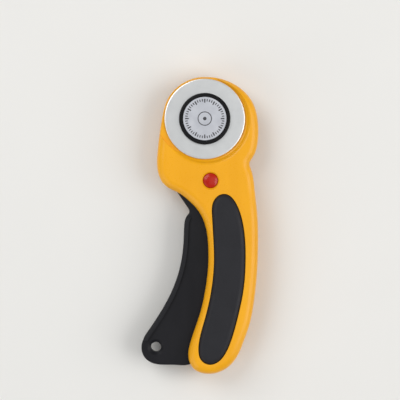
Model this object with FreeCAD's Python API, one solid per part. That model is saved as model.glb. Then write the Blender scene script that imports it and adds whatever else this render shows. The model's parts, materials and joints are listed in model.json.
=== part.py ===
import FreeCAD, Part
import math
import os
from FreeCAD import Vector

# Rotary cutter with a 45 mm blade and a squeeze handle, lying on its back. Millimetres.
# +Y runs from the handle's end to the blade, +X to the closed side of the body, away from
# the squeeze lever, and +Z out of the blade's side. The origin is below the middle of the
# whole cutter, in the plane that the rear grip and the nut rest on.

# Fits, as radial clearances
PRESS_FIT = 0.02
THREAD_FIT = 0.03
RUNNING_FIT = 0.05
SLIDING_FIT = 0.1
PIN_FIT = 0.06
GAP = 0.3

# Body: its two shells, as heights above the resting plane
SPLIT = 10.6
HANDLE_FRONT = 20.0
HEAD_FRONT = 18.0
HEAD_REAR = 5.0
FRONT_BEND = (2.0, 26.0)
REAR_BEND = (8.0, 34.0)
GUARD_RADIUS = 23.8
EDGE_ROUND = 4.8
SEAM_CHAMFER = 0.25
WALL = 2.5
RECESS_CENTRE = Vector(3.3, 59.1, 0)
RECESS_RADIUS = 25.9
RECESS_SLOPE = 4.0
RECESS_FLOOR = 15.6
RECESS_RIM_RISE = 0.05
BLADE_ROOM = 0.6

# Grip inlays of the handle
GRIP_PROUD = 1.2
GRIP_DEPTH = 2.5
GRIP_ROUND = 3.0

# Squeeze lever, centred on the split between the shells
PIVOT = Vector(-15.0, 31.0, 0)
SWEEP_DEGREES = 9.5
LEVER_HALF = 4.0
LEVER_ROUND = 0.9
WEB_HALF = 2.5
LOCK_WEB_HALF = 1.2
PIVOT_BOSS_RADIUS = 6.0
PIVOT_BOSS_HALF = 3.6
PIVOT_BOSS_ROOM = 0.5
PIVOT_BOSS_SKIRT = 0.4
PIN_RADIUS = 2.0
PIN_BACK = 5.9
PIN_FRONT = 16.0
PIN_END_ROOM = 0.1
PIN_CHAMFER = 0.3
LEVER_GRIP_DEPTH = 2.6
LEVER_GRIP_HALF = 5.0
LEVER_GRIP_ROUND = 1.8
LEVER_GRIP_TOP = 4.4
LEVER_GRIP_END = -65.0
HANG_HOLE = Vector(-24.8, -68.6, 0)
HANG_HOLE_RADIUS = 2.9
HANG_DISH_RADIUS = 4.8
HANG_DISH_DEPTH = 1.2
HANG_DISH_RISE = 0.2
MOUTH_BOTTOM = -79.2
MOUTH_TOP = 23.6
MOUTH_INNER = 12.0

# Blade, and the bolt and nut that hold it on the lever's hub
BLADE_CENTRE = Vector(2.66, 59.68, 0)
BLADE_RADIUS = 22.5
BLADE_BORE_RADIUS = 4.0
BLADE_THICKNESS = 0.3
BLADE_BEVEL = 0.5
BLADE_LAND = 0.03
HUB_RADIUS = 9.0
HUB_NECK_RADIUS = 6.5
HUB_ROOM = 0.6
HUB_FRONT = 16.2
HUB_REAR = 4.7
CAP_RADIUS = 14.4
CAP_HEIGHT = 2.5
CAP_ROUND = 0.8
LABEL_RADIUS = 12.1
LABEL_SINK = 0.15
LABEL_THICKNESS = 0.35
BOLT_HEAD_RADIUS = 5.95
BOLT_HEAD = 1.4
SHANK_RADIUS = 3.95
SHANK_SEAT = 1.7
SHANK_FLAT = 3.1
THREAD_RADIUS = 2.95
THREAD_START = 5.2
THREAD_END = 0.6
WASHER_RADIUS = 9.0
WASHER_BORE_RADIUS = 4.1
WASHER_THICKNESS = 0.5
WASHER_BOW = 0.5
NUT_RADIUS = 9.2
NUT_ROUND = 0.6
NUT_BORE_RADIUS = 3.6
SCALLOPS = 20
SCALLOP_RADIUS = 0.95
SCALLOP_OFFSET = 0.5
INSERT_CORNER_RADIUS = 5.0
INSERT_END = 0.5

# Lock button, which slides through both shells and the lever's web
BUTTON = Vector(5.9, 25.1, 0)
BUTTON_RADIUS = 4.2
BUTTON_CROWN = 18.3
BUTTON_DOME_RADIUS = 10.0
BUTTON_RIM_ROUND = 0.8
BUTTON_HEAD_BACK = 15.0
BUTTON_NECK_RADIUS = 3.5
BUTTON_STEM_RADIUS = 2.5
BUTTON_SPIGOT_RADIUS = 1.6
BUTTON_SPIGOT_END = 5.4
BUTTON_CAP_FRONT = 8.9
BUTTON_CAP_BACK = 4.3
BUTTON_CAP_ROUND = 0.7
BUTTON_MOUTH = 0.7
LOCK_SLOT_ROOM = 0.5
LOCK_WEB_ROOM = 0.2

# Return spring, a torsion spring round the pivot pin
SPRING_RADIUS = 3.4
SPRING_WIRE = 0.8
SPRING_PITCH = 0.95
SPRING_TURNS = 3
SPRING_BASE = 10.6
SPRING_REAR_LEG = 10.0
SPRING_FRONT_LEG = 9.0
SPRING_LEG_DEGREES = -60.6
SPRING_ROOM = 0.7
LEG_GROOVE = 1.3
LEG_GROOVE_DEPTH = 1.05
LEG_END_ROOM = 0.6

# Screws, driven in from the back
SCREWS = (
    Vector(21.5, 70.5, 0),
    Vector(-15.5, 60.0, 0),
    Vector(24.5, 22.0, 0),
    Vector(28.2, -18.0, 0),
    Vector(21.6, -62.0, 0),
)
SCREW_RADIUS = 1.25
SCREW_HEAD_RADIUS = 2.3
SCREW_HEAD = 1.5
SCREW_HEAD_ROUND = 0.5
SCREW_HEAD_ROOM = 0.15
SCREW_SHANK_ROOM = 0.2
SCREW_TIP = 14.4
SCREW_TIP_ROOM = 0.2
SCREW_SLOT = (2.6, 0.55)
SCREW_SLOT_DEPTH = 0.9
SCREW_SHELF = 1.8
BOSS_RADIUS = 3.0
BOSS_LENGTH = 5.0

# Heights that follow from those above
HANDLE_REAR = 2 * SPLIT - HANDLE_FRONT
HANDLE_HALF = HANDLE_FRONT - SPLIT
BLADE_BOTTOM = HUB_FRONT + RUNNING_FIT
CAP_BOTTOM = BLADE_BOTTOM + BLADE_THICKNESS + RUNNING_FIT
CAP_TOP = CAP_BOTTOM + CAP_HEIGHT
LABEL_TOP = CAP_TOP - LABEL_SINK
LABEL_BOTTOM = LABEL_TOP - LABEL_THICKNESS
SHANK_SEAT_BOTTOM = HUB_FRONT - SHANK_SEAT
NUT_FRONT = HUB_REAR - WASHER_THICKNESS - WASHER_BOW
BUTTON_NECK_BACK = SPLIT + LOCK_WEB_HALF + LOCK_WEB_ROOM

ABOVE_ALL = 25.0
BELOW_ALL = -1.0
OUTSIDE = 100.0
LEFT_OF_ALL = -45.0
RIGHT_OF_ALL = 40.0
OVERRUN = 2.0
SAME_LEVEL = 0.05
ON_LOOP = 0.01
FRONT, REAR = 1, -1
UP = Vector(0, 0, 1)
ORIGIN = Vector(0, 0, 0)


def arc_points(centre, radius, start, stop, count):
    """Points on a circle, from one angle in degrees to another."""
    angles = [math.radians(start + (stop - start) * i / (count - 1)) for i in range(count)]
    return [(centre.x + radius * math.cos(a), centre.y + radius * math.sin(a)) for a in angles]


# The body's outline, from the top of the guard, down the lever's side, and back up the closed side.
BODY_POINTS = arc_points(BLADE_CENTRE, GUARD_RADIUS, 90, 174, 5) + [
    (-22.7, 52.0), (-23.8, 42.5), (-24.2, 33.8), (-22.6, 26.6), (-18.6, 21.2),
    (-12.6, 18.2), (-6.6, 13.9), (-0.9, 8.0), (3.0, -0.4), (4.6, -12.0),
    (4.4, -25.1), (2.9, -36.5), (0.4, -48.0), (-3.1, -58.6), (-5.6, -66.4),
    (-6.5, -74.2), (-3.6, -80.5), (3.4, -83.3), (11.7, -82.0), (18.8, -76.6),
    (24.3, -65.8), (28.1, -54.6), (30.6, -41.0), (32.1, -26.0), (32.6, -11.0),
    (32.2, 6.0), (30.8, 20.0), (28.9, 31.0), (28.0, 33.6), (27.95, 35.2),
    (28.9, 37.0), (30.2, 39.0), (31.9, 43.4), (32.8, 50.0), (32.5, 59.0),
    (30.2, 68.0), (25.1, 75.1), (17.6, 80.3), (9.8, 82.9),
]
GRIP_POINTS = [
    (13.4, 17.6), (9.4, 16.0), (7.2, 12.6), (6.7, 5.0), (7.4, -7.0), (7.8, -19.0),
    (7.0, -31.0), (5.2, -42.0), (2.6, -52.5), (0.1, -61.5), (-0.9, -69.0), (0.6, -75.2),
    (4.8, -77.7), (9.9, -76.4), (14.4, -71.2), (18.0, -62.6), (21.6, -49.4), (24.3, -36.0),
    (25.4, -22.0), (25.3, -10.0), (24.0, 1.0), (21.2, 10.3), (17.6, 15.8),
]
LEVER_POINTS = [
    (-13.43, 19.34), (-10.2, 14.8), (-7.5, 10.8), (-6.3, 8.9), (-6.0, 7.4),
    (-7.0, 5.8), (-8.3, 3.4), (-9.0, -1.5), (-9.4, -10.8), (-11.2, -23.0),
    (-15.3, -35.7), (-21.4, -47.7), (-27.4, -57.0), (-30.4, -61.4), (-32.3, -65.0),
    (-32.95, -69.6), (-31.7, -73.6), (-28.2, -76.9), (-22.6, -78.4), (-14.0, -78.6),
    (-5.6, -78.2), (-1.6, -75.0), (-1.2, -67.0), (1.2, -57.0), (4.6, -45.0),
    (7.2, -32.0), (8.3, -19.0), (7.9, -6.0), (5.2, 5.6), (0.4, 14.0),
    (-5.0, 19.2), (-8.8, 21.4), (-12.2, 21.7), (-13.7, 20.2),
]
# The web's outline: over the hub, down to the pivot boss, and back past the lock slot.
WEB_POINTS = arc_points(BLADE_CENTRE, HUB_RADIUS, -40, 190, 7) + [
    (-10.6, 47.0), (-17.6, 38.6),
] + arc_points(PIVOT, PIVOT_BOSS_RADIUS + PIVOT_BOSS_SKIRT, 165, 250, 4) + [
    (-13.4, 20.0), (-9.2, 14.2), (-4.6, 10.6), (-0.2, 12.6), (4.8, 15.5), (10.4, 18.8),
    (12.4, 24.6), (10.0, 30.4), (4.0, 33.2), (1.6, 38.0), (4.0, 46.0),
]
# The lever's room in both shells, open on the lever's side
MOUTH_CORNERS = [
    (LEFT_OF_ALL, MOUTH_BOTTOM), (MOUTH_INNER, MOUTH_BOTTOM), (MOUTH_INNER, 0), (0, MOUTH_TOP),
    (LEFT_OF_ALL, MOUTH_TOP),
]
# What the lever's soft cover takes in of the lever's edge
LEVER_GRIP_WINDOW = [
    (LEFT_OF_ALL, LEVER_GRIP_TOP), (-3, LEVER_GRIP_TOP), (-3, -35), (-18, LEVER_GRIP_END),
    (LEFT_OF_ALL, LEVER_GRIP_END),
]


def line(start, end):
    """A straight edge."""
    return Part.LineSegment(start, end).toShape()


def s_bend(start, end):
    """Two arcs from one level to another, flat at both ends."""
    run = Vector(end.x - start.x, end.y - start.y, 0)
    half_run = run.Length / 2
    half_rise = (end.z - start.z) / 2
    radius = (half_run ** 2 + half_rise ** 2) / (2 * abs(half_rise))
    sag = math.copysign(radius - math.sqrt(radius ** 2 - (half_run / 2) ** 2), half_rise)
    middle = (start + end) / 2
    first_bow = start + run / 4 + UP * sag
    second_bow = end - run / 4 - UP * sag
    return [
        Part.Arc(start, first_bow, middle).toShape(),
        Part.Arc(middle, second_bow, end).toShape(),
    ]


def smooth_loop(points):
    """A closed smooth curve through the points."""
    loop = Part.BSplineCurve()
    loop.interpolate(Points=[Vector(x, y, 0) for x, y in points], PeriodicFlag=True)
    return loop


def inset_loop(loop, distance, samples=90):
    """The anticlockwise loop moved inwards, to the left of its direction, by a distance."""
    first = loop.FirstParameter
    step = (loop.LastParameter - first) / samples
    moved = []
    for i in range(samples):
        point = loop.value(first + i * step)
        along = loop.tangent(first + i * step)[0]
        moved.append((point.x - along.y * distance, point.y + along.x * distance))
    return smooth_loop(moved)


def prism(loop, bottom, top):
    """The inside of a loop, as a solid between two heights."""
    face = Part.Face(Part.Wire([loop.toShape()]))
    face.translate(UP * bottom)
    return face.extrude(UP * (top - bottom))


def flat_prism(points, bottom, top):
    """A straight-sided outline, as a solid between two heights."""
    corners = [Vector(x, y, bottom) for x, y in points]
    face = Part.Face(Part.makePolygon(corners + corners[:1]))
    return face.extrude(UP * (top - bottom))


def disc(centre, radius, bottom, top):
    """An upright cylinder."""
    return Part.makeCylinder(radius, top - bottom, centre + UP * bottom, UP)


def cone(centre, low_radius, high_radius, bottom, top):
    """An upright cone between two heights."""
    return Part.makeCone(low_radius, high_radius, top - bottom, centre + UP * bottom, UP)


def hexagon(corner_radius, bottom, top):
    """A hexagonal prism about the blade's axis."""
    return flat_prism(arc_points(BLADE_CENTRE, corner_radius, 0, 300, 6), bottom, top)


def fuse(shapes):
    """All the shapes as one solid."""
    whole = shapes[0]
    for shape in shapes[1:]:
        whole = whole.fuse(shape)
    return whole


def cut(solid, cutters):
    """The solid without what any of the cutters takes away."""
    for cutter in cutters:
        solid = solid.cut(cutter)
    return solid


def circles(solid, low=BELOW_ALL, high=ABOVE_ALL):
    """The round edges of a solid that lie between two heights."""
    return [
        edge for edge in solid.Edges
        if not edge.Degenerated and edge.Curve.TypeId == "Part::GeomCircle"
        and edge.BoundBox.ZMin > low and edge.BoundBox.ZMax < high
    ]


def turned_point(point, degrees):
    """A point turned about the lever's pivot."""
    return PIVOT + FreeCAD.Rotation(UP, degrees).multVec(point - PIVOT)


def swept_disc(centre, radius, bottom, top, degrees=SWEEP_DEGREES):
    """The space that an upright cylinder passes through as it turns with the lever."""
    arm = centre - PIVOT
    inner = Vector(arm.Length - radius, 0, bottom)
    outer = Vector(arm.Length + radius, 0, top)
    section = Part.Face(Part.makePolygon([
        inner, Vector(outer.x, 0, inner.z), outer, Vector(inner.x, 0, outer.z), inner,
    ]))
    section.translate(PIVOT)
    section.rotate(PIVOT, UP, math.degrees(math.atan2(arm.y, arm.x)))
    return fuse([
        disc(centre, radius, bottom, top),
        disc(turned_point(centre, degrees), radius, bottom, top),
        section.revolve(PIVOT, UP, degrees),
    ])


def slab(handle_level, head_level, bend):
    """Everything between the split and a surface that steps gently from handle to head."""
    low_y, high_y = bend
    start = Vector(0, low_y, handle_level)
    end = Vector(0, high_y, head_level)
    handle_edge = Vector(0, -OUTSIDE, handle_level)
    head_edge = Vector(0, OUTSIDE, head_level)
    handle_split = Vector(0, -OUTSIDE, SPLIT)
    head_split = Vector(0, OUTSIDE, SPLIT)
    outline = Part.Wire([
        line(handle_split, handle_edge), line(handle_edge, start), *s_bend(start, end),
        line(end, head_edge), line(head_edge, head_split), line(head_split, handle_split),
    ])
    face = Part.Face(outline)
    face.translate(Vector(-OUTSIDE / 2, 0, 0))
    return face.extrude(Vector(OUTSIDE, 0, 0))


def outer_slab(side, rise):
    """The slab under the front or rear surface of the body, raised by a distance."""
    if side == FRONT:
        return slab(HANDLE_FRONT + rise, HEAD_FRONT + rise, FRONT_BEND)
    return slab(HANDLE_REAR - rise, HEAD_REAR - rise, REAR_BEND)


def loop_edges(solid, loop):
    """The edges of a prism that follow its loop, each with the height of its middle."""
    track = loop.toShape()
    found = []
    for edge in solid.Edges:
        box = edge.BoundBox
        middle = edge.valueAt((edge.FirstParameter + edge.LastParameter) / 2)
        upright = box.XLength < ON_LOOP and box.YLength < ON_LOOP
        if not upright and track.distToShape(Part.Vertex(middle.x, middle.y, 0))[0] < ON_LOOP:
            found.append((edge, middle.z))
    return found


def round_rim(solid, loop, radius, sharp_level=None):
    """Rounds the edges of a prism that follow its loop, except those at one level."""
    rim = [
        edge for edge, height in loop_edges(solid, loop)
        if sharp_level is None or abs(height - sharp_level) > SAME_LEVEL
    ]
    return solid.makeFillet(radius, rim)


BODY_LOOP = smooth_loop(BODY_POINTS)
INNER_LOOP = inset_loop(BODY_LOOP, WALL)
GRIP_LOOP = smooth_loop(GRIP_POINTS)
LEVER_LOOP = smooth_loop(LEVER_POINTS)


def body_half(side):
    """One half of the body's outer form, rounded, with a fine chamfer along the seam."""
    blank = prism(BODY_LOOP, SPLIT, SPLIT + side * (HANDLE_HALF + OVERRUN))
    blank = blank.common(outer_slab(side, 0))
    blank = round_rim(blank, BODY_LOOP, EDGE_ROUND, SPLIT)
    seam = [
        edge for edge, height in loop_edges(blank, BODY_LOOP) if abs(height - SPLIT) < SAME_LEVEL
    ]
    return blank.makeChamfer(SEAM_CHAMFER, seam)


def between(side, near, far):
    """Two offsets from the split, on one side of it, as a bottom and a top height."""
    return sorted((SPLIT + side * near, SPLIT + side * far))


def cavity(side):
    """The room inside one shell for the lever, its web and its pivot boss."""
    deep = between(side, 0, LEVER_HALF + GAP)
    handle_corners = [
        (LEFT_OF_ALL, MOUTH_BOTTOM), (RIGHT_OF_ALL, MOUTH_BOTTOM),
        (RIGHT_OF_ALL, MOUTH_TOP), (LEFT_OF_ALL, MOUTH_TOP),
    ]
    return fuse([
        prism(INNER_LOOP, *between(side, 0, WEB_HALF + GAP)),
        prism(INNER_LOOP, *deep).common(flat_prism(handle_corners, *deep)),
        flat_prism(MOUTH_CORNERS, *deep),
        disc(PIVOT, PIVOT_BOSS_RADIUS + PIVOT_BOSS_ROOM, *between(side, 0, PIVOT_BOSS_HALF + GAP)),
    ])


def hollow_shell(side):
    """One shell with its cavity and its screw bosses."""
    half = body_half(side)
    boss_heights = between(side, 0, BOSS_LENGTH)
    bosses = [disc(place, BOSS_RADIUS, *boss_heights).common(half) for place in SCREWS]
    return fuse([half.cut(cavity(side))] + bosses)


def grip_blank(side):
    """The grip's outline, from the floor of its pocket out past the shell."""
    floor = HANDLE_HALF - GRIP_DEPTH
    return prism(GRIP_LOOP, *between(side, floor, HANDLE_HALF + GRIP_PROUD + OVERRUN))


def blade_recess():
    """The dished round recess that the blade lies in, in the front of the head."""
    foot = Vector(RECESS_RADIUS - RECESS_SLOPE, 0, RECESS_FLOOR)
    rim = Vector(RECESS_RADIUS, 0, HEAD_FRONT + RECESS_RIM_RISE)
    above_rim = Vector(rim.x, 0, ABOVE_ALL)
    above_axis = UP * ABOVE_ALL
    axis_foot = UP * RECESS_FLOOR
    outline = Part.Wire([
        line(axis_foot, foot), *s_bend(foot, rim), line(rim, above_rim),
        line(above_rim, above_axis), line(above_axis, axis_foot),
    ])
    dish = Part.Face(outline).revolve(ORIGIN, UP, 360)
    dish.translate(RECESS_CENTRE)
    return dish


def hub_path(side):
    """The slot that the blade's hub sweeps through one wall of a shell."""
    heights = between(side, 0, HANDLE_HALF + OVERRUN)
    return swept_disc(BLADE_CENTRE, HUB_NECK_RADIUS + HUB_ROOM, *heights)


def leg_groove(side, bottom, top, degrees, length):
    """A straight groove along one leg of the return spring, on one side of the pivot."""
    corner = Vector(0, side * SPRING_RADIUS - LEG_GROOVE / 2, bottom)
    groove = Part.makeBox(length, LEG_GROOVE, top - bottom, corner)
    groove.rotate(ORIGIN, UP, degrees)
    groove.translate(PIVOT)
    return groove


def button_mouth(side, surface):
    """The countersink round the button's hole, from inside one shell out past its surface."""
    bore = BUTTON_RADIUS + SLIDING_FIT
    wide = bore + 2 * BUTTON_MOUTH
    low, high = surface - BUTTON_MOUTH, surface + BUTTON_MOUTH
    if side == FRONT:
        return cone(BUTTON, bore, wide, low, high)
    return cone(BUTTON, wide, bore, low, high)


def make_front_shell():
    """The front half: recess, grip pocket, button hole, hub slot and blind holes."""
    cutters = [
        blade_recess(),
        swept_disc(BLADE_CENTRE, BLADE_RADIUS + BLADE_ROOM, RECESS_FLOOR, ABOVE_ALL),
        grip_blank(FRONT),
        hub_path(FRONT),
        disc(BUTTON, BUTTON_RADIUS + SLIDING_FIT, SPLIT, ABOVE_ALL),
        button_mouth(FRONT, HEAD_FRONT),
        disc(PIVOT, PIN_RADIUS + PRESS_FIT, SPLIT, PIN_FRONT + PIN_END_ROOM),
        leg_groove(FRONT, SPLIT, SPLIT + PIVOT_BOSS_HALF + GAP, SPRING_LEG_DEGREES + 180,
                   SPRING_FRONT_LEG + LEG_END_ROOM),
    ]
    for place in SCREWS:
        cutters.append(disc(place, SCREW_RADIUS + THREAD_FIT, SPLIT, SCREW_TIP + SCREW_TIP_ROOM))
    return cut(hollow_shell(FRONT), cutters)


def screw_seat(place):
    """The height of a screw head's underside: deeper in the thick handle than in the head."""
    if place.y > REAR_BEND[1]:
        return HEAD_REAR + SCREW_HEAD + SLIDING_FIT
    return HANDLE_REAR + SCREW_SHELF + SCREW_HEAD


def make_rear_shell():
    """The rear half: grip pocket, button hole, hub slot, pin hole and counterbores."""
    cutters = [
        grip_blank(REAR),
        hub_path(REAR),
        disc(BUTTON, BUTTON_RADIUS + SLIDING_FIT, BELOW_ALL, SPLIT),
        button_mouth(REAR, BUTTON_CAP_BACK),
        disc(PIVOT, PIN_RADIUS + PRESS_FIT, PIN_BACK - PIN_END_ROOM, SPLIT),
    ]
    for place in SCREWS:
        seat = screw_seat(place)
        cutters.append(disc(place, SCREW_HEAD_RADIUS + SCREW_HEAD_ROOM, BELOW_ALL, seat))
        cutters.append(disc(place, SCREW_RADIUS + SCREW_SHANK_ROOM, BELOW_ALL, SPLIT))
    return cut(hollow_shell(REAR), cutters)


def make_grip(side):
    """A grip inlay, a little proud of the shell that it is bonded to."""
    blank = grip_blank(side).common(outer_slab(side, GRIP_PROUD))
    return round_rim(blank, GRIP_LOOP, GRIP_ROUND, SPLIT + side * (HANDLE_HALF - GRIP_DEPTH))


def lever_grip_zone(half):
    """The strip along the lever's outer edge that its soft cover fills."""
    bottom, top = SPLIT - half, SPLIT + half
    core = prism(inset_loop(LEVER_LOOP, LEVER_GRIP_DEPTH), bottom - OVERRUN, top + OVERRUN)
    window = flat_prism(LEVER_GRIP_WINDOW, bottom - OVERRUN, top + OVERRUN)
    return prism(LEVER_LOOP, bottom, top).cut(core).common(window)


def shank_flats(clearance):
    """The slice between the two flats of the bolt's shank, widened by a clearance."""
    half = SHANK_FLAT + clearance
    corner = BLADE_CENTRE + Vector(-half, -HUB_RADIUS, BELOW_ALL)
    return Part.makeBox(2 * half, 2 * HUB_RADIUS, ABOVE_ALL, corner)


def hub_cutters():
    """The keyed hole for the bolt's shank, round where the blade's seat goes in."""
    hole_radius = SHANK_RADIUS + RUNNING_FIT
    return [
        disc(BLADE_CENTRE, hole_radius, BELOW_ALL, ABOVE_ALL).common(shank_flats(RUNNING_FIT / 2)),
        disc(BLADE_CENTRE, hole_radius, SHANK_SEAT_BOTTOM - SLIDING_FIT, ABOVE_ALL),
    ]


def spring_cutters():
    """The pin's hole, the coil's pocket and the slots that the spring's two legs lie in."""
    pocket_radius = SPRING_RADIUS + SPRING_WIRE / 2 + SPRING_ROOM
    cutters = [
        disc(PIVOT, PIN_RADIUS + PIN_FIT, BELOW_ALL, ABOVE_ALL),
        disc(PIVOT, pocket_radius, SPRING_BASE - SPRING_ROOM, ABOVE_ALL),
        leg_groove(REAR, SPRING_BASE - LEG_GROOVE_DEPTH, ABOVE_ALL, SPRING_LEG_DEGREES,
                   SPRING_REAR_LEG + LEG_END_ROOM),
    ]
    for share in (0, 0.5, 1):
        cutters.append(leg_groove(
            FRONT, SPLIT + WEB_HALF, ABOVE_ALL,
            SPRING_LEG_DEGREES + 180 - share * SWEEP_DEGREES, PIVOT_BOSS_RADIUS + OVERRUN))
    return cutters


def lock_cutters():
    """The keyhole slot: two round pockets in the thin web and a wide passage beside it."""
    locked_button = turned_point(BUTTON, -SWEEP_DEGREES)
    cutters = [
        disc(pocket, BUTTON_NECK_RADIUS + SLIDING_FIT, BELOW_ALL, ABOVE_ALL)
        for pocket in (BUTTON, locked_button)
    ]
    passage = BUTTON_RADIUS + LOCK_SLOT_ROOM
    for bottom, top in (
        (BELOW_ALL, SPLIT - LOCK_WEB_HALF), (SPLIT + LOCK_WEB_HALF, ABOVE_ALL),
    ):
        cutters.append(swept_disc(BUTTON, passage, bottom, top, -SWEEP_DEGREES))
    return cutters


def hang_hole_cutters():
    """The hang hole, dished on both faces of the lever's foot."""
    cutters = [disc(HANG_HOLE, HANG_HOLE_RADIUS, BELOW_ALL, ABOVE_ALL)]
    near = LEVER_HALF - HANG_DISH_DEPTH
    far = LEVER_HALF + HANG_DISH_RISE
    cutters.append(cone(HANG_HOLE, HANG_HOLE_RADIUS, HANG_DISH_RADIUS, SPLIT + near, SPLIT + far))
    cutters.append(cone(HANG_HOLE, HANG_DISH_RADIUS, HANG_HOLE_RADIUS, SPLIT - far, SPLIT - near))
    return cutters


def make_squeeze_lever():
    """The lever: grip part, web, pivot boss and the hub that carries the blade."""
    grip_part = prism(LEVER_LOOP, SPLIT - LEVER_HALF, SPLIT + LEVER_HALF)
    grip_part = round_rim(grip_part, LEVER_LOOP, LEVER_ROUND)
    solid = fuse([
        grip_part.cut(lever_grip_zone(LEVER_HALF + OVERRUN)),
        prism(smooth_loop(WEB_POINTS), SPLIT - WEB_HALF, SPLIT + WEB_HALF),
        disc(PIVOT, PIVOT_BOSS_RADIUS, SPLIT - PIVOT_BOSS_HALF, SPLIT + PIVOT_BOSS_HALF),
        disc(BLADE_CENTRE, HUB_NECK_RADIUS, HUB_REAR, HUB_FRONT),
    ])
    return cut(solid, hub_cutters() + spring_cutters() + lock_cutters() + hang_hole_cutters())


def make_lever_grip():
    """The soft cover on the lever's outer edge, a little thicker than the lever."""
    return round_rim(lever_grip_zone(LEVER_GRIP_HALF), LEVER_LOOP, LEVER_GRIP_ROUND)


def make_pivot_pin():
    """A plain pin with chamfered ends."""
    pin = disc(PIVOT, PIN_RADIUS, PIN_BACK, PIN_FRONT)
    return pin.makeChamfer(PIN_CHAMFER, circles(pin))


def make_return_spring():
    """Close turns with a straight leg at each end, both tangent to the coil."""
    rise = SPRING_TURNS * SPRING_PITCH
    along = Vector(0, 2 * math.pi * SPRING_RADIUS, SPRING_PITCH).normalize()
    coil = Part.makeHelix(SPRING_PITCH, rise, SPRING_RADIUS)
    start = Vector(SPRING_RADIUS, 0, 0)
    end = Vector(SPRING_RADIUS, 0, rise)
    tip = start - along * SPRING_REAR_LEG
    far_tip = end + along * SPRING_FRONT_LEG
    path = Part.Wire([line(tip, start), *coil.Edges, line(end, far_tip)])
    section = Part.Wire([Part.Circle(tip, along, SPRING_WIRE / 2).toShape()])
    spring = path.makePipeShell([section], True, True)
    spring = spring.mirror(ORIGIN, Vector(1, 0, 0))
    spring.rotate(ORIGIN, UP, SPRING_LEG_DEGREES + 90)
    spring.translate(PIVOT + UP * SPRING_BASE)
    return spring


def make_lock_button():
    """The red button: domed head, locking neck, stem and the spigot for the rear cap."""
    dome = Part.makeSphere(BUTTON_DOME_RADIUS, BUTTON + UP * (BUTTON_CROWN - BUTTON_DOME_RADIUS))
    head = disc(BUTTON, BUTTON_RADIUS, BUTTON_HEAD_BACK, BUTTON_CROWN).common(dome)
    head = head.makeFillet(BUTTON_RIM_ROUND, circles(head, low=BUTTON_HEAD_BACK + SAME_LEVEL))
    return fuse([
        head,
        disc(BUTTON, BUTTON_NECK_RADIUS, BUTTON_NECK_BACK, BUTTON_HEAD_BACK),
        disc(BUTTON, BUTTON_STEM_RADIUS, BUTTON_CAP_FRONT, BUTTON_NECK_BACK),
        disc(BUTTON, BUTTON_SPIGOT_RADIUS, BUTTON_SPIGOT_END, BUTTON_CAP_FRONT),
    ])


def make_lock_button_rear():
    """The cap pressed on the stem's end, which a finger pushes to unlock."""
    cap = disc(BUTTON, BUTTON_RADIUS, BUTTON_CAP_BACK, BUTTON_CAP_FRONT)
    cap = cap.makeFillet(BUTTON_CAP_ROUND, circles(cap, high=BUTTON_CAP_BACK + SAME_LEVEL))
    return cap.cut(disc(BUTTON, BUTTON_SPIGOT_RADIUS + PRESS_FIT, BUTTON_SPIGOT_END, ABOVE_ALL))


def make_blade():
    """A disc with a ground bevel on both faces, down to a fine edge."""
    top = BLADE_BOTTOM + BLADE_THICKNESS
    middle = (BLADE_BOTTOM + top) / 2
    flat_radius = BLADE_RADIUS - BLADE_BEVEL
    profile = [
        (BLADE_BORE_RADIUS, BLADE_BOTTOM), (flat_radius, BLADE_BOTTOM),
        (BLADE_RADIUS, middle - BLADE_LAND / 2), (BLADE_RADIUS, middle + BLADE_LAND / 2),
        (flat_radius, top), (BLADE_BORE_RADIUS, top),
    ]
    corners = [Vector(radius, 0, height) for radius, height in profile]
    blade = Part.Face(Part.makePolygon(corners + corners[:1])).revolve(ORIGIN, UP, 360)
    blade.translate(BLADE_CENTRE)
    return blade


def make_bolt_cap():
    """The black flange moulded over the bolt's head, with a seat for its label."""
    cap = disc(BLADE_CENTRE, CAP_RADIUS, CAP_BOTTOM, CAP_TOP)
    cap = cap.makeFillet(CAP_ROUND, circles(cap, low=CAP_TOP - SAME_LEVEL))
    return cut(cap, [
        disc(BLADE_CENTRE, LABEL_RADIUS + RUNNING_FIT, LABEL_BOTTOM, ABOVE_ALL),
        disc(BLADE_CENTRE, BOLT_HEAD_RADIUS + RUNNING_FIT, BELOW_ALL, CAP_BOTTOM + BOLT_HEAD),
    ])


def make_bolt_label():
    """The silver disc in the flange."""
    return disc(BLADE_CENTRE, LABEL_RADIUS, LABEL_BOTTOM, LABEL_TOP)


def make_blade_bolt():
    """Head, round seat for the blade, two flats for the lever's hub, and thread."""
    flat_part = disc(BLADE_CENTRE, SHANK_RADIUS, THREAD_START, SHANK_SEAT_BOTTOM)
    return fuse([
        disc(BLADE_CENTRE, BOLT_HEAD_RADIUS, CAP_BOTTOM, CAP_BOTTOM + BOLT_HEAD),
        disc(BLADE_CENTRE, SHANK_RADIUS, SHANK_SEAT_BOTTOM, CAP_BOTTOM),
        flat_part.common(shank_flats(0)),
        disc(BLADE_CENTRE, THREAD_RADIUS, THREAD_END, THREAD_START),
    ])


def make_spring_washer():
    """A ring cut from a sheet that is bowed about the Y axis."""
    radius = (WASHER_RADIUS ** 2 + WASHER_BOW ** 2) / (2 * WASHER_BOW)
    length = 4 * WASHER_RADIUS
    axis_height = HUB_REAR - WASHER_THICKNESS - WASHER_BOW + radius
    axis_start = BLADE_CENTRE + Vector(0, -length / 2, axis_height)
    along_y = Vector(0, 1, 0)
    outer = Part.makeCylinder(radius, length, axis_start, along_y)
    inner = Part.makeCylinder(radius - WASHER_THICKNESS, length, axis_start, along_y)
    ring = disc(BLADE_CENTRE, WASHER_RADIUS, BELOW_ALL, SPLIT)
    ring = ring.cut(disc(BLADE_CENTRE, WASHER_BORE_RADIUS, BELOW_ALL, SPLIT))
    return ring.common(outer.cut(inner))


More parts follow.
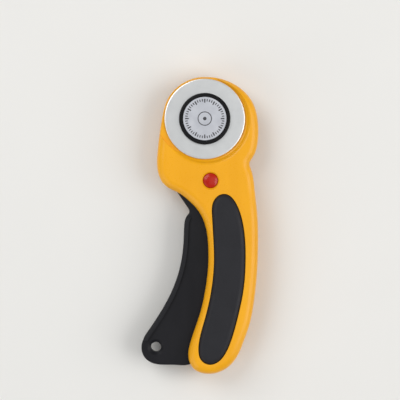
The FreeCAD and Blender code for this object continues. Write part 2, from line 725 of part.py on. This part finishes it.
def make_nut_knob():
    """The black nut, with scallops for the fingers and a hexagonal seat for its insert."""
    knob = disc(BLADE_CENTRE, NUT_RADIUS, 0, NUT_FRONT)
    knob = knob.makeFillet(NUT_ROUND, circles(knob))
    scallops = arc_points(
        BLADE_CENTRE, NUT_RADIUS + SCALLOP_OFFSET, 0, 360 - 360 / SCALLOPS, SCALLOPS)
    cutters = [disc(Vector(x, y, 0), SCALLOP_RADIUS, BELOW_ALL, ABOVE_ALL) for x, y in scallops]
    cutters.append(hexagon(INSERT_CORNER_RADIUS, INSERT_END, ABOVE_ALL))
    cutters.append(disc(BLADE_CENTRE, NUT_BORE_RADIUS, BELOW_ALL, ABOVE_ALL))
    return cut(knob, cutters)


def make_nut_insert():
    """The threaded steel hexagon in the nut."""
    insert = hexagon(INSERT_CORNER_RADIUS - THREAD_FIT, INSERT_END, NUT_FRONT)
    return insert.cut(disc(BLADE_CENTRE, THREAD_RADIUS + THREAD_FIT, BELOW_ALL, ABOVE_ALL))


def make_screw(place):
    """A pan-head screw with a cross recess."""
    seat = screw_seat(place)
    head = disc(place, SCREW_HEAD_RADIUS, seat - SCREW_HEAD, seat)
    head = head.makeFillet(SCREW_HEAD_ROUND, circles(head, high=seat - SCREW_HEAD + SAME_LEVEL))
    screw = fuse([head, disc(place, SCREW_RADIUS, seat, SCREW_TIP)])
    for length, width in (SCREW_SLOT, SCREW_SLOT[::-1]):
        corner = place + Vector(-length / 2, -width / 2, seat - SCREW_HEAD - OVERRUN)
        screw = screw.cut(Part.makeBox(length, width, SCREW_SLOT_DEPTH + OVERRUN, corner))
    return screw


def make_parts():
    """Every piece by name."""
    parts = {
        "front_shell": make_front_shell(),
        "rear_shell": make_rear_shell(),
        "front_grip": make_grip(FRONT),
        "rear_grip": make_grip(REAR),
        "squeeze_lever": make_squeeze_lever(),
        "lever_grip": make_lever_grip(),
        "pivot_pin": make_pivot_pin(),
        "return_spring": make_return_spring(),
        "lock_button": make_lock_button(),
        "lock_button_rear": make_lock_button_rear(),
        "blade": make_blade(),
        "bolt_cap": make_bolt_cap(),
        "bolt_label": make_bolt_label(),
        "blade_bolt": make_blade_bolt(),
        "spring_washer": make_spring_washer(),
        "nut_knob": make_nut_knob(),
        "nut_insert": make_nut_insert(),
    }
    for number, place in enumerate(SCREWS, start=1):
        parts[f"shell_screw_{number}"] = make_screw(place)
    return parts


def main():
    os.makedirs("parts", exist_ok=True)
    for name, shape in make_parts().items():
        solid = shape.Solids[0] if len(shape.Solids) == 1 else shape
        box = solid.BoundBox
        print(f"{name}: {len(shape.Solids)} solid, valid {solid.isValid()}, {solid.Volume:.1f} mm3, "
              f"x {box.XMin:.2f} {box.XMax:.2f}, y {box.YMin:.2f} {box.YMax:.2f}, "
              f"z {box.ZMin:.2f} {box.ZMax:.2f}")
        solid.exportStep(f"parts/{name}.step")


main()
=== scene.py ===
import json
import math

import bmesh
import bpy
from mathutils import Matrix, Vector


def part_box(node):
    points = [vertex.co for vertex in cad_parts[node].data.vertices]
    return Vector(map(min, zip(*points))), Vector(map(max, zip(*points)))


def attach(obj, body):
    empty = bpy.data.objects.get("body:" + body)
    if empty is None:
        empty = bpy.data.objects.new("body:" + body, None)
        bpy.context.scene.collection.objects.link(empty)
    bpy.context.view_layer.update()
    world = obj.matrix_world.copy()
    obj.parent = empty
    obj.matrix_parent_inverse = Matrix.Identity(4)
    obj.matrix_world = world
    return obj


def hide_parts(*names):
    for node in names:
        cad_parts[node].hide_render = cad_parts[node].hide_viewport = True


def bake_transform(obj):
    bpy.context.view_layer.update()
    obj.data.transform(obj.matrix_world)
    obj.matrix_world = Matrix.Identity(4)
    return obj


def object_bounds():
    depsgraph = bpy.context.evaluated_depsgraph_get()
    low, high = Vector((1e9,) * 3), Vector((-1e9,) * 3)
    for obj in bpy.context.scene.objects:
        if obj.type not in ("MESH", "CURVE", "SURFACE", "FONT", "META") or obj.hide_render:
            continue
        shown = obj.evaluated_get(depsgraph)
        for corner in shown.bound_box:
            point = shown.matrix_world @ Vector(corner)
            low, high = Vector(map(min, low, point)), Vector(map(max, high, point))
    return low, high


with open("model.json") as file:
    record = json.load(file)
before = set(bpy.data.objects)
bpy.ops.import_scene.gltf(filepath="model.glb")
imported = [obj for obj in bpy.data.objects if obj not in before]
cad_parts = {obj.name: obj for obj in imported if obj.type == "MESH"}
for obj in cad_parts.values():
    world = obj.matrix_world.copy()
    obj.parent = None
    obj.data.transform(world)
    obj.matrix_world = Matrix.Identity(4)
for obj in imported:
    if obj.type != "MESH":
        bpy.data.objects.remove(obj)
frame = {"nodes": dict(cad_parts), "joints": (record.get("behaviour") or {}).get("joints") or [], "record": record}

# Looks for the rotary cutter. Metres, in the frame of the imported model: the cutter lies on its
# back with the blade's side up, and the camera looks straight down on it.

CAD_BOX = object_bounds()
NODES = frame["nodes"]
SLOT_OF = {part["node"]: part["material_slot"] for part in frame["record"]["subparts"]}

MM = 0.001
FULL_TURN = 2 * math.pi

# The view: its width where its centre is, and the camera's lens and sensor in millimetres
VIEW_WIDTH = 0.2242
VIEW_CENTRE = Vector((0.0, 0.0142, 0.0165))
LENS = 110.0
SENSOR = 36.0
NEAREST_SEEN = 0.01

# The surroundings
FLOOR_SIZE = 4.0
FLOOR_DROP = 0.02 * MM
WORLD_COLOUR = (0.92, 0.93, 0.95, 1)
WORLD_STRENGTH = 0.30


def middle_of(node):
    """The middle of a node's box."""
    low, high = (Vector(corner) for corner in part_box(node))
    return (low + high) / 2


BLADE_CENTRE = middle_of("blade")
BLADE_RADIUS = (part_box("blade")[1][0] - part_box("blade")[0][0]) / 2
BLADE_BEVEL = 0.5 * MM
BEVEL_BLUR = 0.04 * MM
LABEL_CENTRE = middle_of("bolt_label")
LABEL_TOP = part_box("bolt_label")[1][2]
LEVER_PIVOT = next(joint["pos_m"] for joint in frame["joints"] if joint["name"] == "lever_squeeze")

# The print on the label: a scale of strokes between two radii, a ring and a dot. A stroke's
# half width is an angle in radians.
PRINT_THICKNESS = 0.02 * MM
PRINT_SUNK = 0.005 * MM
STROKES = 48
STROKES_PER_LONG = 4
STROKE_OUTER = 11.0 * MM
STROKE_INNER = 9.6 * MM
LONG_STROKE_INNER = 8.9 * MM
STROKE_HALF = 0.026
LONG_STROKE_HALF = 0.036
PRINT_RING_INNER = 3.5 * MM
PRINT_RING_OUTER = 4.0 * MM
PRINT_DOT = 1.0 * MM
RING_STEPS = 48

# The return spring, as the CAD has it. Its coil is turned by an angle in degrees.
SPRING_RADIUS = 3.4 * MM
SPRING_WIRE_RADIUS = 0.4 * MM
SPRING_PITCH = 0.95 * MM
SPRING_TURNS = 3
SPRING_HEIGHT = SPRING_PITCH * SPRING_TURNS
SPRING_BASE = 10.6 * MM
SPRING_REAR_LEG = 10.0 * MM
SPRING_FRONT_LEG = 9.0 * MM
SPRING_DEGREES = 29.4
SPRING_STEPS = 32 * SPRING_TURNS
SPRING_SIDES = 12

# Materials. Most of a noise's values are between NOISE_LOW and NOISE_HIGH. A point counts as on an
# edge by the cosine between its normal and the bevelled one. The colour sockets of a mix node share
# their names with others, so they are taken by number.
NOISE_LOW = 0.3
NOISE_HIGH = 0.7
BEVEL_SAMPLES = 6
EDGE_STARTS = 0.98
EDGE_FULL = 0.7
MIX_COLOUR_A = 6
MIX_COLOUR_B = 7
MIX_COLOUR_RESULT = 2


class Finish:
    """A procedural material, built up round one Principled shader."""

    def __init__(self, name, **settings):
        self.material = bpy.data.materials.new(name)
        self.material.use_nodes = True
        self.tree = self.material.node_tree
        self.shader = self.tree.nodes["Principled BSDF"]
        for socket, value in settings.items():
            self.shader.inputs[socket.replace("_", " ")].default_value = value

    def node(self, kind, links=(), **settings):
        """A new node. links are (input, source) pairs, and settings are its own properties."""
        made = self.tree.nodes.new(kind)
        for key, value in settings.items():
            setattr(made, key, value)
        for socket, source in links:
            self.feed(made.inputs[socket], source)
        return made

    def feed(self, socket, source):
        """Links a socket to another, or sets its value."""
        if isinstance(source, bpy.types.NodeSocket):
            self.tree.links.new(source, socket)
        else:
            socket.default_value = source

    def set(self, socket, source):
        """Links one of the shader's sockets."""
        self.tree.links.new(source, self.shader.inputs[socket])

    def place(self, origin=(0, 0, 0)):
        """Where a point of the surface is, from an origin."""
        coordinates = self.node("ShaderNodeTexCoord").outputs["Object"]
        links = [(0, coordinates), (1, tuple(origin))]
        return self.node("ShaderNodeVectorMath", links, operation="SUBTRACT").outputs[0]

    def stretched(self, place, stretch):
        """Coordinates multiplied along each axis, so that a grain runs one way."""
        links = [(0, place), (1, stretch)]
        return self.node("ShaderNodeVectorMath", links, operation="MULTIPLY").outputs[0]

    def radius(self, centre):
        """The distance from an upright axis."""
        flat = self.stretched(self.place(centre), (1, 1, 0))
        return self.node("ShaderNodeVectorMath", [(0, flat)], operation="LENGTH").outputs["Value"]

    def math(self, operation, first, second):
        """One step of arithmetic."""
        links = [(0, first), (1, second)]
        return self.node("ShaderNodeMath", links, operation=operation).outputs[0]

    def mix(self, first, first_share, second, second_share):
        """The sum of two values, each multiplied by its share."""
        one = self.math("MULTIPLY", first, first_share)
        other = self.math("MULTIPLY", second, second_share)
        return self.math("ADD", one, other)

    def noise(self, place, cell, detail=2.0, roughness=0.5):
        """Smooth noise with cells of a size in metres."""
        return self.node("ShaderNodeTexNoise", [
            ("Vector", place), ("Scale", 1 / cell), ("Detail", detail), ("Roughness", roughness),
        ]).outputs["Fac"]

    def rings(self, radius, cell):
        """Fine rings round an axis, from the distance to it."""
        along = self.node("ShaderNodeCombineXYZ", [("X", radius)]).outputs[0]
        return self.noise(along, cell, detail=3.0, roughness=0.7)

    def cells(self, place, cell):
        """The distance, in cells, to the nearest of scattered points about a cell apart."""
        return self.node(
            "ShaderNodeTexVoronoi", [("Vector", place), ("Scale", 1 / cell)]).outputs["Distance"]

    def remap(self, value, out_low, out_high, low=NOISE_LOW, high=NOISE_HIGH):
        """A value's range moved to another, clamped."""
        return self.node("ShaderNodeMapRange", [
            ("Value", value), ("From Min", low), ("From Max", high),
            ("To Min", out_low), ("To Max", out_high),
        ]).outputs["Result"]

    def blend(self, factor, first, second):
        """A colour between two others, each a socket or three numbers."""
        mixed = self.node("ShaderNodeMix", [("Factor", factor)], data_type="RGBA")
        for index, colour in ((MIX_COLOUR_A, first), (MIX_COLOUR_B, second)):
            source = (*colour, 1.0) if isinstance(colour, tuple) else colour
            self.feed(mixed.inputs[index], source)
        return mixed.outputs[MIX_COLOUR_RESULT]

    def shaded(self, value, deep, light):
        """A colour that goes from deep to light as a noise rises."""
        return self.blend(self.remap(value, 0.0, 1.0), deep, light)

    def bevelled(self, width):
        """The normal with the edges rounded by a width."""
        links = [("Radius", width)]
        return self.node("ShaderNodeBevel", links, samples=BEVEL_SAMPLES).outputs["Normal"]

    def edges(self, width):
        """Near 1 on sharp edges and 0 on open faces, from how far a bevel turns the normal."""
        plain = self.node("ShaderNodeNewGeometry").outputs["Normal"]
        links = [(0, self.bevelled(width)), (1, plain)]
        same = self.node("ShaderNodeVectorMath", links, operation="DOT_PRODUCT").outputs["Value"]
        return self.remap(same, 0.0, 1.0, low=EDGE_STARTS, high=EDGE_FULL)

    def bumps(self, height, depth, strength, edge=None):
        """Relief of a depth in metres, with the edges rounded by a width as well if given."""
        links = [("Height", height), ("Distance", depth), ("Strength", strength)]
        if edge is not None:
            links.append(("Normal", self.bevelled(edge)))
        self.set("Normal", self.node("ShaderNodeBump", links).outputs["Normal"])


def moulded(name, deep, light, edge_colour, smooth, rough, peel, specular):
    """A moulded plastic: faint flow marks, a fine skin and slightly paler edges."""
    finish = Finish(name, Specular_IOR_Level=specular)
    place = finish.place()
    along = finish.stretched(place, (1.0, 0.35, 1.0))
    flow = finish.noise(along, cell=14 * MM, detail=3.0, roughness=0.55)
    skin = finish.noise(place, cell=peel, roughness=0.6)
    colour = finish.blend(finish.remap(flow, 0.0, 1.0, low=0.35, high=0.65), deep, light)
    paleness = finish.math("MULTIPLY", finish.edges(width=0.35 * MM), 0.5)
    finish.set("Base Color", finish.blend(paleness, colour, edge_colour))
    finish.set("Roughness", finish.remap(skin, smooth, rough))
    finish.bumps(skin, depth=0.03 * MM, strength=0.35, edge=0.25 * MM)
    return finish.material


def rubbery(name, deep, light, smooth, rough, grain, specular):
    """A soft moulded grip: a fine grain in the relief and in the colour, and broad patches."""
    finish = Finish(name, Specular_IOR_Level=specular)
    place = finish.place()
    pits = finish.cells(place, cell=grain)
    patches = finish.noise(place, cell=9 * MM, detail=4.0, roughness=0.6)
    height = finish.mix(pits, 1.0, finish.noise(place, cell=0.6 * grain), 0.7)
    finish.set("Base Color", finish.shaded(finish.mix(patches, 0.6, pits, 0.5), deep, light))
    finish.set("Roughness", finish.remap(patches, smooth, rough))
    finish.bumps(height, depth=0.06 * MM, strength=0.55, edge=0.3 * MM)
    return finish.material


def turned_steel(name, deep, light, smooth, rough, stretch):
    """Machined or drawn steel: a fine grain one way, faint stains and softened edges."""
    finish = Finish(name, Metallic=1.0)
    place = finish.place()
    along = finish.stretched(place, stretch)
    grain = finish.noise(along, cell=0.5 * MM, detail=4.0, roughness=0.65)
    stains = finish.noise(place, cell=3 * MM, detail=3.0, roughness=0.6)
    finish.set("Base Color", finish.shaded(stains, deep, light))
    finish.set("Roughness", finish.remap(grain, smooth, rough))
    finish.bumps(grain, depth=0.01 * MM, strength=0.3, edge=0.08 * MM)
    return finish.material


def blade_steel():
    """Steel ground in fine rings, with a warmer and duller bevel at the edge."""
    finish = Finish("ground_blade_steel", Metallic=1.0)
    radius = finish.radius(BLADE_CENTRE)
    rings = finish.rings(radius, cell=0.12 * MM)
    clouds = finish.noise(finish.place(BLADE_CENTRE), cell=8 * MM, detail=3.0)
    bevel_start = BLADE_RADIUS - BLADE_BEVEL
    bevel = finish.remap(
        radius, 0.0, 1.0, low=bevel_start - BEVEL_BLUR, high=bevel_start + BEVEL_BLUR)
    face = finish.shaded(
        finish.mix(clouds, 0.6, rings, 0.4), deep=(0.72, 0.735, 0.735), light=(0.84, 0.85, 0.845))
    finish.set("Base Color", finish.blend(bevel, face, (0.80, 0.79, 0.75)))
    finish.set("Roughness", finish.mix(finish.remap(rings, 0.27, 0.39), 1.0, bevel, 0.10))
    finish.bumps(rings, depth=0.004 * MM, strength=0.3)
    return finish.material


def label_silver():
    """A satin silver disc, spun fine, with a faint blue cast."""
    finish = Finish("spun_silver_label", Metallic=0.85)
    rings = finish.rings(finish.radius(LABEL_CENTRE), cell=0.15 * MM)
    clouds = finish.noise(finish.place(), cell=6 * MM, detail=3.0)
    finish.set("Base Color", finish.shaded(
        clouds, deep=(0.60, 0.615, 0.665), light=(0.70, 0.715, 0.76)))
    finish.set("Roughness", finish.remap(rings, 0.30, 0.44))
    finish.bumps(rings, depth=0.004 * MM, strength=0.25)
    return finish.material


def printed_ink():
    """Dark print on the silver disc, a little uneven."""
    finish = Finish("label_print")
    patches = finish.noise(finish.place(), cell=0.8 * MM, detail=3.0, roughness=0.6)
    finish.set("Base Color", finish.blend(patches, (0.03, 0.03, 0.035), (0.07, 0.07, 0.08)))
    finish.set("Roughness", finish.remap(patches, 0.45, 0.6))
    return finish.material


def pale_top():
    """The tabletop: matt and nearly plain."""
    finish = Finish("pale_floor", Roughness=0.9, Specular_IOR_Level=0.1)
    patches = finish.noise(finish.place(), cell=60 * MM, detail=3.0)
    finish.set("Base Color", finish.blend(patches, (0.80, 0.79, 0.76), (0.82, 0.81, 0.78)))
    return finish.material


def finishes():
    """The material of each slot in the record."""
    return {
        "body_plastic": moulded(
            "yellow_orange_plastic",
            deep=(0.86, 0.385, 0.005), light=(0.91, 0.42, 0.009), edge_colour=(0.93, 0.48, 0.03),
            smooth=0.26, rough=0.36, peel=0.7 * MM, specular=0.34),
        "grip_rubber": rubbery(
            "grip_elastomer", deep=(0.013, 0.013, 0.016), light=(0.019, 0.019, 0.023),
            smooth=0.48, rough=0.62, grain=0.35 * MM, specular=0.26),
        "lever_plastic": moulded(
            "black_lever_plastic",
            deep=(0.0065, 0.0065, 0.0085), light=(0.0095, 0.0095, 0.012),
            edge_colour=(0.035, 0.035, 0.038),
            smooth=0.42, rough=0.55, peel=0.3 * MM, specular=0.22),
        "lever_rubber": rubbery(
            "lever_elastomer", deep=(0.008, 0.008, 0.010), light=(0.013, 0.013, 0.016),
            smooth=0.55, rough=0.70, grain=0.30 * MM, specular=0.24),
        "plain_steel": turned_steel(
            "turned_steel", deep=(0.46, 0.46, 0.47), light=(0.58, 0.58, 0.59),
            smooth=0.24, rough=0.42, stretch=(1, 1, 9)),
        "spring_steel": turned_steel(
            "spring_steel", deep=(0.36, 0.36, 0.37), light=(0.47, 0.47, 0.47),
            smooth=0.22, rough=0.38, stretch=(3, 3, 1)),
        "red_plastic": moulded(
            "red_button_plastic",
            deep=(0.44, 0.012, 0.002), light=(0.50, 0.016, 0.003), edge_colour=(0.60, 0.06, 0.03),
            smooth=0.18, rough=0.26, peel=0.5 * MM, specular=0.38),
        "blade_steel": blade_steel(),
        "black_plastic": moulded(
            "black_cap_plastic",
            deep=(0.005, 0.005, 0.006), light=(0.008, 0.008, 0.009),
            edge_colour=(0.03, 0.03, 0.033),
            smooth=0.30, rough=0.42, peel=0.4 * MM, specular=0.16),
        "silver_label": label_silver(),
        "screw_steel": turned_steel(
            "zinc_plated_steel", deep=(0.50, 0.50, 0.52), light=(0.62, 0.62, 0.63),
            smooth=0.26, rough=0.42, stretch=(4, 4, 1)),
    }


def dress_nodes(made):
    """Gives every CAD node the material of its slot."""
    for name, obj in NODES.items():
        for material_slot in obj.material_slots:
            material_slot.material = made[SLOT_OF[name]]


def add_object(name, data):
    """A new object in the scene."""
    made = bpy.data.objects.new(name, data)
    bpy.context.scene.collection.objects.link(made)
    return made


def mesh_object(name, mesh_data, material):
    """A new object from a bmesh, in one material."""
    mesh = bpy.data.meshes.new(name)
    mesh_data.to_mesh(mesh)
    mesh_data.free()
    mesh.materials.append(material)
    return add_object(name, mesh)


def mesh_piece(name, mesh_data, material):
    """A new piece of the cutter from a bmesh."""
    piece = mesh_object(name, mesh_data, material)
    return piece


def around_label(radius, angle, level):
    """A point at a radius and an angle round the label's middle."""
    return (
        LABEL_CENTRE.x + radius * math.cos(angle),
        LABEL_CENTRE.y + radius * math.sin(angle),
        level,
    )


def join_rings(data, ring, following):
    """A band of four-sided faces between two rings of points, and those faces."""
    count = len(ring)
    return [
        data.faces.new((ring[k], ring[(k + 1) % count], following[(k + 1) % count], following[k]))
        for k in range(count)
    ]


def add_stroke(data, inner, outer, angle, half, low, high):
    """A short stroke that points at the middle, as a closed slab between two heights."""
    start, stop = angle - half, angle + half
    corners = [(inner, start), (outer, start), (outer, stop), (inner, stop)]
    below, above = (
        [data.verts.new(around_label(*corner, level)) for corner in corners]
        for level in (low, high)
    )
    data.faces.new(above)
    data.faces.new(below[::-1])
    join_rings(data, below, above)


def add_ring(data, inner, outer, low, high):
    """A flat ring round the middle, as a closed slab between two heights."""
    profile = ((inner, low), (outer, low), (outer, high), (inner, high))
    sections = []
    for i in range(RING_STEPS):
        angle = FULL_TURN * i / RING_STEPS
        sections.append([
            data.verts.new(around_label(radius, angle, level)) for radius, level in profile
        ])
    for section, following in zip(sections, sections[1:] + sections[:1]):
        join_rings(data, section, following)


def add_dot(data, radius, low, high):
    """A round dot at the middle, as a closed slab between two heights."""
    centre = Matrix.Translation((LABEL_CENTRE.x, LABEL_CENTRE.y, (low + high) / 2))
    bmesh.ops.create_cone(
        data, cap_ends=True, segments=RING_STEPS, radius1=radius, radius2=radius,
        depth=high - low, matrix=centre)


def make_label_print():
    """Printed marks on the label: a scale of short strokes, a ring and a dot."""
    data = bmesh.new()
    low = LABEL_TOP - PRINT_SUNK
    high = LABEL_TOP + PRINT_THICKNESS
    for i in range(STROKES):
        angle = FULL_TURN * i / STROKES
        if i % STROKES_PER_LONG == 0:
            add_stroke(data, LONG_STROKE_INNER, STROKE_OUTER, angle, LONG_STROKE_HALF, low, high)
        else:
            add_stroke(data, STROKE_INNER, STROKE_OUTER, angle, STROKE_HALF, low, high)
    add_ring(data, PRINT_RING_INNER, PRINT_RING_OUTER, low, high)
    add_dot(data, PRINT_DOT, low, high)
    bmesh.ops.recalc_face_normals(data, faces=data.faces)
    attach(mesh_piece("label_print", data, printed_ink()), "lever")


def spring_path():
    """The middle of the spring's wire: the rear leg, the close turns and the front leg."""
    coil = []
    for i in range(SPRING_STEPS + 1):
        done = i / SPRING_STEPS
        angle = FULL_TURN * SPRING_TURNS * done
        x = -SPRING_RADIUS * math.cos(angle)
        y = SPRING_RADIUS * math.sin(angle)
        coil.append(Vector((x, y, SPRING_HEIGHT * done)))
    along = Vector((0, FULL_TURN * SPRING_RADIUS, SPRING_PITCH)).normalized()
    rear_tip = coil[0] - along * SPRING_REAR_LEG
    front_tip = coil[-1] + along * SPRING_FRONT_LEG
    turn = Matrix.Rotation(math.radians(SPRING_DEGREES), 3, "Z")
    base = Vector((LEVER_PIVOT[0], LEVER_PIVOT[1], SPRING_BASE))
    return [base + turn @ point for point in (rear_tip, *coil, front_tip)]


def wire_ring(data, point, forward):
    """The wire's outline at a point of its path, square to the path."""
    side = forward.cross(Vector((0, 0, 1))).normalized()
    up = side.cross(forward)
    angles = [FULL_TURN * k / SPRING_SIDES for k in range(SPRING_SIDES)]
    return [
        data.verts.new(point + SPRING_WIRE_RADIUS * (math.cos(a) * side + math.sin(a) * up))
        for a in angles
    ]


def make_wound_spring(material):
    """The return spring as round wire, in place of the CAD's spring, which is hidden."""
    data = bmesh.new()
    path = spring_path()
    rings = []
    for i, point in enumerate(path):
        before, after = path[max(i - 1, 0)], path[min(i + 1, len(path) - 1)]
        rings.append(wire_ring(data, point, (after - before).normalized()))
    for ring, following in zip(rings, rings[1:]):
        for face in join_rings(data, ring, following):
            face.smooth = True
    data.faces.new(rings[0])
    data.faces.new(rings[-1])
    bmesh.ops.recalc_face_normals(data, faces=data.faces)
    spring = mesh_piece("wound_return_spring", data, material)
    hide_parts("return_spring")
    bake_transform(spring)


def make_camera():
    """A camera straight above the middle of the view, as far off as its lens needs."""
    camera = bpy.data.cameras.new("camera")
    camera.lens = LENS
    camera.sensor_width = SENSOR
    camera.clip_start = NEAREST_SEEN
    holder = add_object("camera", camera)
    holder.location = VIEW_CENTRE + Vector((0, 0, VIEW_WIDTH * LENS / SENSOR))
    bpy.context.scene.camera = holder


def make_floor():
    """A plain pale tabletop, a hair below the cutter's lowest point."""
    data = bmesh.new()
    bmesh.ops.create_grid(data, x_segments=1, y_segments=1, size=FLOOR_SIZE)
    floor = mesh_object("floor", data, pale_top())
    floor.location.z = CAD_BOX[0][2] - FLOOR_DROP


def add_area_light(name, place, size, watts):
    """A soft square light aimed at the middle of the view."""
    light = bpy.data.lights.new(name, "AREA")
    light.size = size
    light.energy = watts
    holder = add_object(name, light)
    holder.location = place
    holder.rotation_euler = (VIEW_CENTRE - Vector(place)).to_track_quat("-Z", "Y").to_euler()


def make_lights():
    """Soft studio light from the upper left, overhead, the right and the lower left."""
    add_area_light("key", place=(-0.75, 0.70, 1.00), size=1.0, watts=9.3)
    add_area_light("overhead", place=(0.40, 0.0, 1.30), size=1.2, watts=2.3)
    add_area_light("side", place=(1.20, -0.10, 0.90), size=1.2, watts=12.5)
    add_area_light("fill", place=(-1.00, -0.75, 0.75), size=1.1, watts=5.0)


def make_surroundings():
    """A pale light from all round, and colours shown as they are."""
    world = bpy.data.worlds.new("studio")
    world.use_nodes = True
    background = world.node_tree.nodes["Background"]
    background.inputs["Color"].default_value = WORLD_COLOUR
    background.inputs["Strength"].default_value = WORLD_STRENGTH
    bpy.context.scene.world = world
    bpy.context.scene.view_settings.view_transform = "Standard"


looks = finishes()
dress_nodes(looks)
make_label_print()
make_wound_spring(looks["spring_steel"])
make_camera()
make_floor()
make_lights()
make_surroundings()
